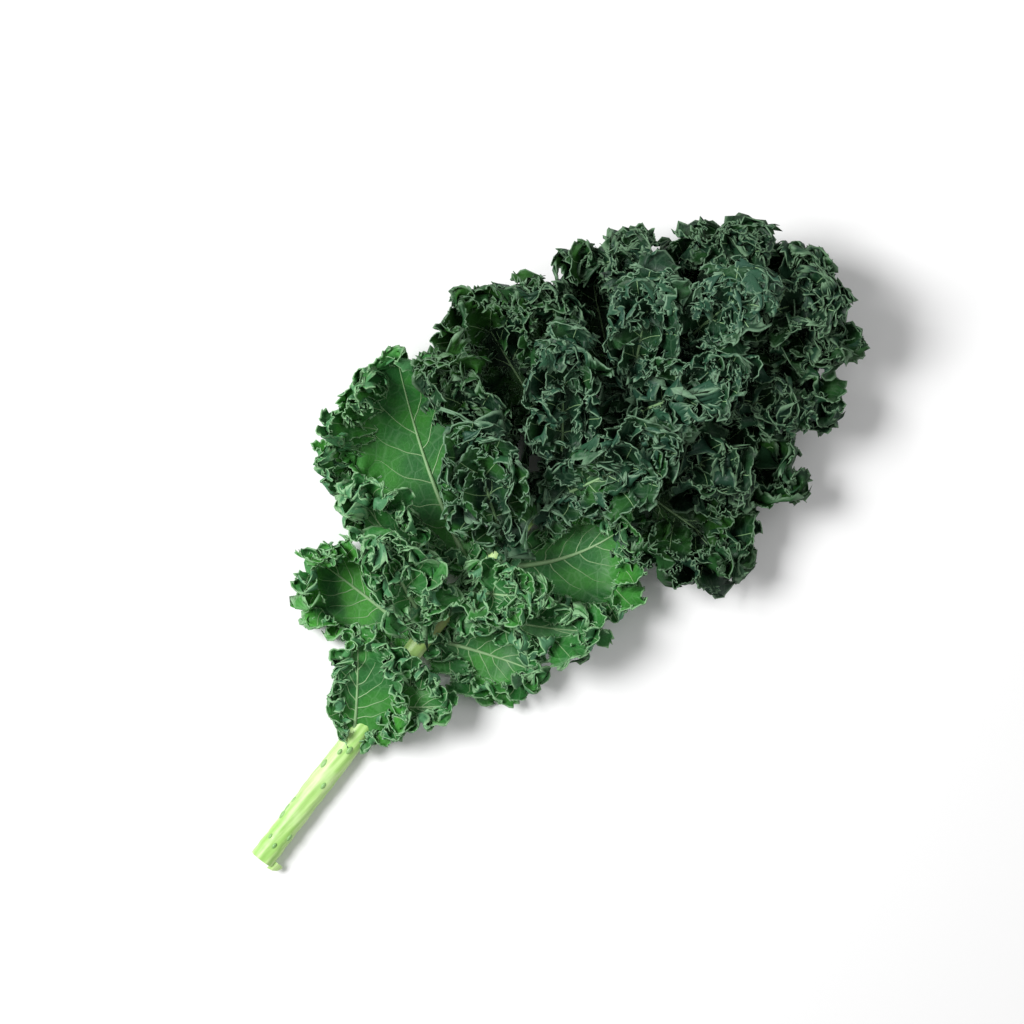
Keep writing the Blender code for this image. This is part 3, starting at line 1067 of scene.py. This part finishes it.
# %% The kinds of leaflet
# a ring of lobes: the depths where they start and end, their spacing in mm, least and most lift
OPEN = {
    "core": 0.88, "rings": [(0.60, 1.04, 10, 0.1, 0.7)],
    "curl": 40, "rows": WIDE_ROWS, "strength": 0.85, "veins": 5}
CROWDED = {
    "core": 0.35, "rings": [(0.38, 1.02, 12.5, 0.2, 0.9), (0.03, 0.55, 14.5, 0.5, 1.2)],
    "curl": 30, "rows": LOBE_ROWS, "strength": 0.6, "veins": 2}
HALF_OPEN = {**CROWDED, "core": 0.6, "rings": [(0.45, 1.04, 10, 0.2, 1.0)]}
NEAR_HUB = {**CROWDED, "rings": [(0.40, 1.04, 9, 0.2, 0.8), (0.03, 0.55, 11, 0.4, 1.0)]}
KINDS = {  # a leaflet that isn't named here is a crowded one
    "left_1": {**OPEN, "core": 0.92, "rings": [(0.70, 1.04, 8, 0.1, 0.6)]},
    "left_2": {**OPEN, "rings": [(0.42, 1.04, 10, 0.1, 0.5)]},
    "right_1": {**OPEN, "core": 0.85, "rings": [(0.58, 1.04, 9, 0.1, 0.7)], "curl": 45},
    "right_2": {**OPEN, "rings": [(0.64, 1.06, 9, 0.1, 0.7)]},
    "basal_left": {**OPEN, "core": 0.95, "rings": [(0.66, 1.02, 8, 0.2, 0.8)], "curl": 50},
    "basal_right": {**OPEN, "core": 0.6, "rings": [(0.4, 1.05, 8, 0.3, 1.0)], "curl": 50},
    "inner_1": NEAR_HUB, "inner_2": NEAR_HUB,
    "mid_left_1": HALF_OPEN, "mid_right_1": HALF_OPEN,
}
WHOLE_CURL = 55        # degrees, of the smooth surface that the lobes stand on
LOBE_CURL = 45
LOBE_WIDEST = 1.4
LOBE_PLACES = (0.08, 0.44)    # of the lobe nearest to the base and of the one next to the tip
LOBE_WIDTHS = (0.7, 0.95)     # half the width, as a part of the spacing
LOBE_FRESHNESS = (0.1, 1.7)   # times the leaflet's own
PLACE_STRAY = 0.012           # how far round the edge a lobe may stray
END_STRAY = 2.5 * MM          # and how far to the side its end may stray
MIDDLE_LIFT = 0.3             # of the end's lift
RIB_RADII_MM = {"left_1": 1.7, "left_2": 1.9, "right_1": 1.6, "right_2": 2.1, "inner_1": 2.2}
USUAL_RIB_MM = 1.2
LOBE_BODY = {"Rib Radius": 0.3 * MM, "Rib Points": 14, "Rib Sides": 5, "Side Veins": 0}
# painted light: besides each leaflet's share of fresh green, some values, such as left_1's, are
# raised to brighten leaflets that lie in shade
FRESHNESS_AND_PAINTED_LIGHT = {
    "left_1": 1.4, "left_2": 0.7, "left_3": 1.3, "left_4": 0.7, "right_1": 0.7, "right_2": 0.6,
    "right_3": 0.9, "right_4": 0.8, "basal_left": 0.6, "basal_right": 0.6, "inner_3": 1.4,
    "inner_4": 0.7, "mid_left_2": 1.7, "mid_left_3": 0.9}
USUAL_FRESHNESS = 0.35
print("leaflets with a kind of their own:", ", ".join(KINDS))


# %% Making one leaflet
def make_lobe(name, whole, ring, place, rng):
    """A lobe's smooth blade, from a place on the leaflet outwards."""
    near, far, spacing, least_lift, most_lift = ring
    place = place + rng.uniform(-PLACE_STRAY, PLACE_STRAY)
    spots = whole.point(np.full(3, place), np.array([near, 0.5 * (near + far), far]))
    lift = rng.uniform(least_lift, most_lift) * np.linalg.norm(spots[2] - spots[0])
    spots[2] += (*rng.uniform(-END_STRAY, END_STRAY, 2), lift)
    spots[1, 2] += MIDDLE_LIFT * lift
    width = spacing * rng.uniform(*LOBE_WIDTHS) * MM
    return Blade(*spots, width, width, LOBE_WIDEST, LOBE_CURL, rng)


def freshen(piece, fresh):
    store(piece, "fresh", np.full(len(piece.data.vertices), fresh))


def make_lobes(name, whole, ring, material, fresh, rng):
    _, far, spacing, _, _ = ring
    pairs = max(round(whole.row_length(far) / (2 * spacing * MM)), 2)
    side = np.linspace(*LOBE_PLACES, pairs)
    lobes = []
    for number, place in enumerate([*side, 0.5, *(1 - side)]):
        lobe = make_lobe(name, whole, ring, place, rng)
        lobes.append(make_blade(f"{name}_lobe_{number}", lobe, material, rng, LOBE_ROWS,
                                CRISP_STARTS, 1.0, LOBE_BODY))
        freshen(lobes[-1], rng.uniform(*LOBE_FRESHNESS) * fresh)
    return lobes


def make_leaflet(name):
    rng = np.random.default_rng(sum(ord(letter) * (i + 1) for i, letter in enumerate(name)))
    root_x, middle, end, left, right, widest = LEAFLETS_MM[name]
    line = (spine_at(root_x * MM), np.array(middle) * MM, np.array(end) * MM)
    material = BLADE_MATERIALS[SLOTS[name]]
    kind = KINDS.get(name, CROWDED)
    core, curl = kind["core"], kind["curl"]
    whole = Blade(*line, left * MM, right * MM, widest, WHOLE_CURL, rng)
    middle = Blade(*line, core * left * MM, core * right * MM, widest, curl, rng)
    rib = RIB_RADII_MM.get(name, USUAL_RIB_MM) * MM
    pieces = [make_blade(name + "_blade", middle, material, rng, kind["rows"], SMOOTH_STARTS,
                         kind["strength"], {"Rib Radius": rib, "Side Veins": kind["veins"]})]
    fresh = FRESHNESS_AND_PAINTED_LIGHT.get(name, USUAL_FRESHNESS)
    freshen(pieces[0], fresh)
    for ring in kind["rings"]:
        pieces += make_lobes(name, whole, ring, material, fresh, rng)
    with bpy.context.temp_override(active_object=pieces[0], selected_editable_objects=pieces):
        bpy.ops.object.join()
    return pieces[0]


def claim(piece, node):
    """Attaches a piece to the root body, which it moves with, and hides the solid that it stands
    for.
    """
    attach(piece, "root")
    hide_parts(node)


def count_triangles(piece):
    return sum(len(face.vertices) - 2 for face in piece.data.polygons)


# %% All the leaflets
total = 0
for leaflet_name in LEAFLETS_MM:
    leaflet = make_leaflet(leaflet_name)
    claim(leaflet, leaflet_name)
    triangles = count_triangles(leaflet)
    total += triangles
    corners = np.array(leaflet.bound_box) / MM
    print(leaflet_name, triangles, "triangles, from", corners.min(0).round(),
          "to", corners.max(0).round())
print("triangles in all leaflets:", total)

# %% [markdown]
# ## The stalk
#
# The stalk is thick and solid, with a shallow channel on its upper side and low ridges along
# it, and it narrows smoothly into the midrib. Curve to Mesh sweeps a circle along the
# midrib's line, and then each point is moved in or out by its angle round that line: ridges
# all round, the channel on top. The scars of leaflets that were pulled off are short darker
# bumps, one shape on a few points. At the cut end a strip of skin has peeled away.

# %% The stalk tree
STALK_SIDES = 56
CUT_FACING = -0.8      # faces that look this much back along X belong to the cut
SCARS = (  # along X in mm, angle round the stalk in degrees, radius in mm
    (-198, 97, 1.1), (-196, 50, 1.0), (-190, 138, 1.4), (-184, 24, 1.9), (-180, 20, 1.6),
    (-175, 22, 1.3), (-159, 110, 1.3), (-151, 38, 1.8), (-141, 70, 1.1), (-137, 105, 1.5),
)
SCAR_HEIGHT = 5.9 * MM    # above the midrib's line
SCAR_SLANT = 0.14         # the stalk runs this much askew of X, in radians


def add_skin(nodes, given):
    """A tube with ridges all round and a channel on top, its cut end marked and flat."""
    line = nodes.geo("MeshToCurve", Mesh=given["Geometry"])
    line = nodes.geo("ResampleCurve", Curve=line, Count=260)
    line = nodes.geo("SetCurveNormal", Curve=line, mode="Z_UP")
    line = write(nodes, line, "centre", position(nodes), kind=VECTOR)
    share = read(nodes, "share")
    taper = nodes.smoothstep(share, given["Bare Share"], 1.0)
    slim = given["Tip Radius"] - given["Cut Radius"]
    skin = add_tube(nodes, line, nodes.line(slim, taper, given["Cut Radius"]), STALK_SIDES)

    centre = read(nodes, "centre", VECTOR)
    away = nodes.vector("SUBTRACT", position(nodes), centre)
    _, sideways, up = nodes.split(away)
    angle = nodes.math("ARCTAN2", up, sideways)
    from_top = (angle - math.pi / 2) / given["Channel Width"]
    channel = nodes.math("EXPONENT", from_top * from_top * -1.0)
    ridge = nodes.math("COSINE", nodes.line(angle, given["Ridges"], nodes.wander(share * 6.0)))
    factor = nodes.line(ridge, given["Ridge Depth"], 1.0)
    factor = nodes.line(nodes.wander(share * 40.0), given["Unevenness"], factor)
    factor = factor - channel * given["Channel Depth"]
    grown = nodes.vector("ADD", centre, nodes.vector("SCALE", away, Scale=factor))
    x, y, z = nodes.split(grown)
    skin = move(nodes, skin, nodes.whole(x, y, nodes.math("MAXIMUM", z, 0.0)))
    facing, _, _ = nodes.split(nodes.geo("InputNormal"))
    skin = write(nodes, skin, "cut", nodes.math("LESS_THAN", facing, CUT_FACING), "FACE")
    return nodes.geo("SetShadeSmooth", Geometry=skin,
                     Shade_Smooth=nodes.math("GREATER_THAN", facing, CUT_FACING))


def add_scars(nodes, points):
    bump = nodes.geo("MeshIcoSphere", Radius=1.0, Subdivisions=3)
    bump = nodes.geo("Transform", Geometry=bump, Scale=(1.5, 0.8, 0.6))
    scars = nodes.geo("InstanceOnPoints", Points=read_object(nodes, points), Instance=bump,
                      Rotation=read(nodes, "turn", VECTOR), Scale=read(nodes, "size"))
    scars = nodes.geo("RealizeInstances", Geometry=scars)
    return write(nodes, nodes.geo("SetShadeSmooth", Geometry=scars), "scar", 1.0)


def make_stalk_tree():
    nodes, given, result = make_tree("ridged stalk", "GeometryNodeTree", {
        "Geometry": "Geometry", "Cut Radius": CUT_RADIUS, "Tip Radius": 1.8 * MM,
        "Bare Share": 0.15, "Ridges": 9.0, "Ridge Depth": 0.014, "Channel Depth": 0.10,
        "Channel Width": 0.5, "Unevenness": 0.035, "Scar Points": "Object",
        "Peeled Skin": "Object", "Material": "Material",
    }, {"Geometry": "Geometry"})
    whole = gather(nodes, add_skin(nodes, given), add_scars(nodes, given["Scar Points"]),
                   read_object(nodes, given["Peeled Skin"]))
    nodes.join(make_real(nodes, whole, given["Material"]), result["Geometry"])
    return nodes.tree


STALK = make_stalk_tree()


# %% Scars and peeled skin
def make_scar_points():
    """Points on the stalk's skin, with a turn that lays a bump along it and a size."""
    places, degrees, sizes = np.array(SCARS).T
    spots = []
    turns = []
    for x, angle in zip(places, np.radians(degrees)):
        outward = np.array([0, math.cos(angle), math.sin(angle)])
        spots.append(spine_at(x * MM) + SCAR_HEIGHT * outward)
        turns.append((angle - math.pi / 2, 0, SCAR_SLANT))
    points = add_object("scar_points", spots, [])
    store(points, "turn", np.array(turns))
    store(points, "size", sizes * MM)
    return points


PEEL_MM = ((-206.5, -40.0, 7.0), (-206.0, -42.6, 6.6), (-205.2, -44.6, 5.2), (-204.6, -45.6, 3.2))
PEEL_WIDTHS_MM = (2.6, 2.4, 1.7, 0.5)
PEEL_THICKNESS = 0.7 * MM


def make_peel():
    """A strip of skin that hangs from the edge of the cut, as a closed box of few sides."""
    points = []
    for (x, y, z), width in zip(PEEL_MM, PEEL_WIDTHS_MM):
        for side, level in ((-1, 0), (1, 0), (1, 1), (-1, 1)):
            spot = np.array((x + side * width, y, z)) * MM
            points.append(spot + level * PEEL_THICKNESS * np.array((0, 0.5, 0.8)))
    last = len(points) - 4
    faces = [(3, 2, 1, 0)]
    for k in range(0, last, 4):
        for i in range(4):
            j = (i + 1) % 4
            faces.append((k + i, k + j, k + 4 + j, k + 4 + i))
    faces.append(tuple(range(last, last + 4)))
    return add_object("peel", points, faces)


# %% Making the stalk
steps = [(i, i + 1) for i in range(len(SPINE_LINE) - 1)]
stalk = add_object("stalk_skin", SPINE_LINE, [], steps)
store(stalk, "share", SPINE_SHARES)
scar_points = make_scar_points()
peel = make_peel()
add_tree(stalk, STALK, {
    "Scar Points": scar_points, "Peeled Skin": peel, "Material": STALK_MATERIAL})
keep_result(stalk)
drop(scar_points)
drop(peel)
claim(stalk, "stalk")
print("triangles in the stalk:", count_triangles(stalk))

# %% [markdown]
# ## Table, light and camera
#
# The leaf lies on a plain pale table. A large lamp to one side gives the soft shadows between
# the curls, a weaker one opposite keeps them from going black, and the sky fills in the rest.
# The camera looks straight down with the leaf turned 45 degrees in its frame.

# %% Table and light
table = add_object("table", [(-3, -3, 0), (3, -3, 0), (3, 3, 0), (-3, 3, 0)], [(0, 1, 2, 3)])
table_material, _, table_shader = make_material("table")
table_shader.inputs["Base Color"].default_value = (0.85, 0.85, 0.85, 1)
table_shader.inputs["Roughness"].default_value = 0.8
table.data.materials.append(table_material)


def add_lamp(name, place, size, power):
    lamp = bpy.data.lights.new(name, "AREA")
    lamp.size = size
    lamp.energy = power
    light = put(name, lamp)
    light.location = place
    light.rotation_euler = (-Vector(place)).to_track_quat("-Z", "Y").to_euler()
    print(name, "lamp:", power, "W")


add_lamp("key", (-0.5, 0.9, 1.3), 0.7, 34)
add_lamp("fill", (0.9, -0.5, 1.2), 1.2, 6)
sky = bpy.data.worlds.new("studio")
sky.use_nodes = True
sky.node_tree.nodes["Background"].inputs["Color"].default_value = (1, 1, 1, 1)
sky.node_tree.nodes["Background"].inputs["Strength"].default_value = 0.3
bpy.context.scene.world = sky

# %% Camera
camera_data = bpy.data.cameras.new("camera")
camera_data.sensor_width = 36
camera_data.lens = 100
camera_data.clip_end = 20
camera = put("camera", camera_data)
camera.location = (0.0064, 0.0, 1.45)
camera.rotation_euler = (0, 0, math.radians(-45))
bpy.context.scene.camera = camera
bpy.context.scene.view_settings.view_transform = "Standard"
print("camera height, m:", camera.location.z)
